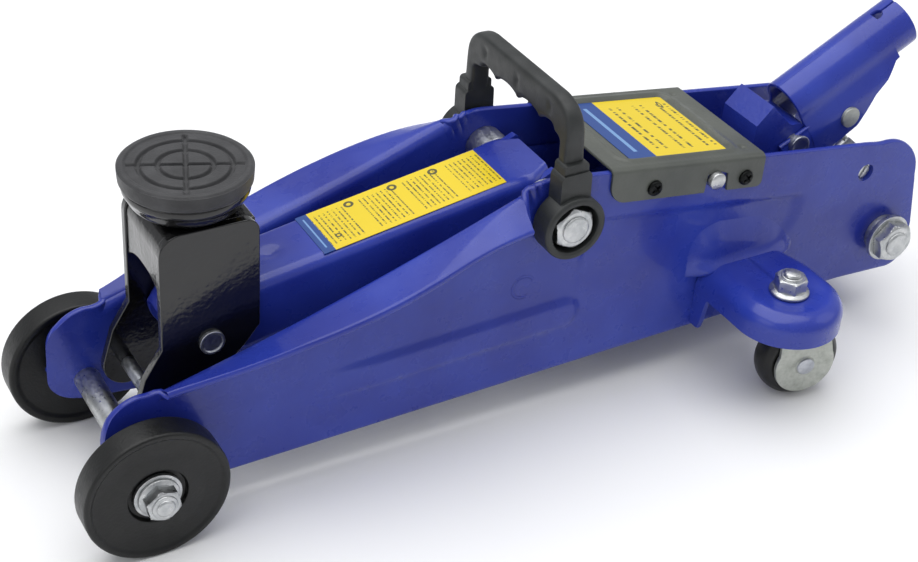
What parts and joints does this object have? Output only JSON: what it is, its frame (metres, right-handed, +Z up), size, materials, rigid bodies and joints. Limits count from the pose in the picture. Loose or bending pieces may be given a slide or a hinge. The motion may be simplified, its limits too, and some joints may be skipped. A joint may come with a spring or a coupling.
{
  "type": "car jack",
  "caption": "Hydraulic trolley jack with pressed side plates, lift arm, turning saddle, power unit, handle socket, casters and a carry handle.",
  "frame": {"origin": "middle of the jack's bounding box, on the floor that its wheels stand on", "axes": "+X runs from the front wheels towards the handle socket, +Z is up, +Y is to the side"},
  "size_m": [0.4258, 0.185, 0.1569],
  "materials": {
    "blue_enamel": "gloss",
    "black_enamel": "gloss",
    "grey_enamel": "satin",
    "zinc": "satin",
    "fork_zinc": "satin",
    "wheel_black": "gloss",
    "handle_plastic": "matte",
    "pad_rubber": "matte",
    "label_film": "gloss"
  },
  "bodies": {
    "frame": {"side_plate_left": "blue_enamel", "side_plate_right": "blue_enamel", "front_axle": "zinc", "front_axle_washers": "zinc", "front_axle_nuts": "zinc", "rear_tie_bolt": "zinc", "rear_bolt_washers": "zinc", "rear_bolt_nuts": "zinc", "cover_tie_bolt": "zinc", "arm_pivot_shaft": "zinc", "arm_pivot_nuts": "zinc", "pivot_spacers": "zinc", "radius_rod_pins": "zinc", "spring_anchor": "zinc", "return_springs": "zinc", "cover_plate": "grey_enamel", "cover_screws": "black_enamel", "cover_label": "label_film", "pump_block": "blue_enamel", "tank_tube": "blue_enamel", "cylinder_tube": "zinc", "cylinder_gland": "zinc", "filler_plug": "pad_rubber", "safety_valve_plug": "zinc", "pump_gland_nut": "zinc", "plunger_spring": "zinc", "socket_pivot_pin": "zinc", "caster_bracket_left": "blue_enamel", "caster_bracket_right": "blue_enamel"},
    "front_wheel_left_body": {"front_wheel_left": "wheel_black"},
    "front_wheel_right_body": {"front_wheel_right": "wheel_black"},
    "caster_left_body": {"caster_fork_left": "fork_zinc", "caster_stud_left": "zinc", "caster_nut_left": "zinc", "caster_axle_left": "zinc"},
    "caster_right_body": {"caster_fork_right": "fork_zinc", "caster_stud_right": "zinc", "caster_nut_right": "zinc", "caster_axle_right": "zinc"},
    "caster_wheel_left_body": {"caster_wheel_left": "wheel_black"},
    "caster_wheel_right_body": {"caster_wheel_right": "wheel_black"},
    "arm_body": {"lift_arm": "blue_enamel", "crank_pin": "zinc", "arm_label": "label_film"},
    "bracket_body": {"saddle_bracket": "black_enamel", "arm_front_pin": "zinc", "link_pin": "zinc"},
    "radius_rods_body": {"radius_rod_left": "black_enamel", "radius_rod_right": "black_enamel"},
    "saddle_body": {"saddle_cup": "black_enamel", "saddle_pad": "pad_rubber"},
    "ram_body": {"ram_rod": "zinc", "ram_head": "zinc"},
    "socket_body": {"handle_socket": "blue_enamel", "socket_push_pin": "zinc"},
    "plunger_body": {"pump_plunger": "zinc", "plunger_cap": "zinc"},
    "valve_body": {"release_valve": "zinc"},
    "carry_handle_body": {"carry_handle": "handle_plastic"}
  },
  "joints": [
    {"name": "front_wheel_left_spin", "type": "hinge", "parent": "frame", "child": "front_wheel_left_body", "pos_m": [-0.18292, -0.046, 0.03], "axis": [0, 1, 0], "continuous": true},
    {"name": "front_wheel_right_spin", "type": "hinge", "parent": "frame", "child": "front_wheel_right_body", "pos_m": [-0.18292, 0.046, 0.03], "axis": [0, 1, 0], "continuous": true},
    {"name": "caster_left_swivel", "type": "hinge", "parent": "frame", "child": "caster_left_body", "pos_m": [0.10708, -0.0675, 0.05], "axis": [0, 0, 1], "continuous": true},
    {"name": "caster_right_swivel", "type": "hinge", "parent": "frame", "child": "caster_right_body", "pos_m": [0.10708, 0.0675, 0.05], "axis": [0, 0, 1], "continuous": true},
    {"name": "caster_wheel_left_spin", "type": "hinge", "parent": "caster_left_body", "child": "caster_wheel_left_body", "pos_m": [0.11688, -0.06946, 0.0195], "axis": [0.1959, 0.9806, 0], "continuous": true},
    {"name": "caster_wheel_right_spin", "type": "hinge", "parent": "caster_right_body", "child": "caster_wheel_right_body", "pos_m": [0.11688, 0.06946, 0.0195], "axis": [-0.1959, 0.9806, 0], "continuous": true},
    {"name": "lift_arm_hinge", "type": "hinge", "parent": "frame", "child": "arm_body", "pos_m": [0.00258, 0, 0.1018], "axis": [0, 1, 0], "range_deg": [0, 60], "deforming": ["return_springs"]},
    {"name": "saddle_bracket_hinge", "type": "hinge", "parent": "arm_body", "child": "bracket_body", "pos_m": [-0.14742, 0, 0.0726], "axis": [0, 1, 0], "range_deg": [-60, 0]},
    {"name": "radius_rods_hinge", "type": "hinge", "parent": "frame", "child": "radius_rods_body", "pos_m": [-0.01942, 0, 0.0732], "axis": [0, 1, 0], "range_deg": [0, 60]},
    {"name": "saddle_turn", "type": "hinge", "parent": "bracket_body", "child": "saddle_body", "pos_m": [-0.14842, 0, 0.125], "axis": [0, 0, 1], "continuous": true},
    {"name": "ram_slide", "type": "slide", "parent": "frame", "child": "ram_body", "axis": [-1, 0, 0], "range_m": [0, 0.03801]},
    {"name": "handle_socket_hinge", "type": "hinge", "parent": "frame", "child": "socket_body", "pos_m": [0.14458, 0, 0.094], "axis": [0, 1, 0], "range_deg": [-20, 15], "deforming": ["plunger_spring"]},
    {"name": "plunger_slide", "type": "slide", "parent": "frame", "child": "plunger_body", "axis": [0, 0, -1], "range_m": [-0.0097, 0.0073]},
    {"name": "release_valve_turn", "type": "hinge", "parent": "frame", "child": "valve_body", "pos_m": [0.19368, 0.009, 0.0614], "axis": [0.7071, 0, 0.7071], "range_deg": [0, 180]},
    {"name": "carry_handle_hinge", "type": "hinge", "parent": "frame", "child": "carry_handle_body", "pos_m": [0.00258, 0, 0.1018], "axis": [0, 1, 0], "range_deg": [-10, 43]}
  ],
  "couplings": [
    {"joint": "saddle_bracket_hinge", "follows": "lift_arm_hinge", "ratio": -1},
    {"joint": "radius_rods_hinge", "follows": "lift_arm_hinge", "ratio": 1},
    {"joint": "ram_slide", "follows": "lift_arm_hinge", "m_per_rad": 0.03629},
    {"joint": "plunger_slide", "follows": "handle_socket_hinge", "m_per_rad": 0.0275}
  ]
}
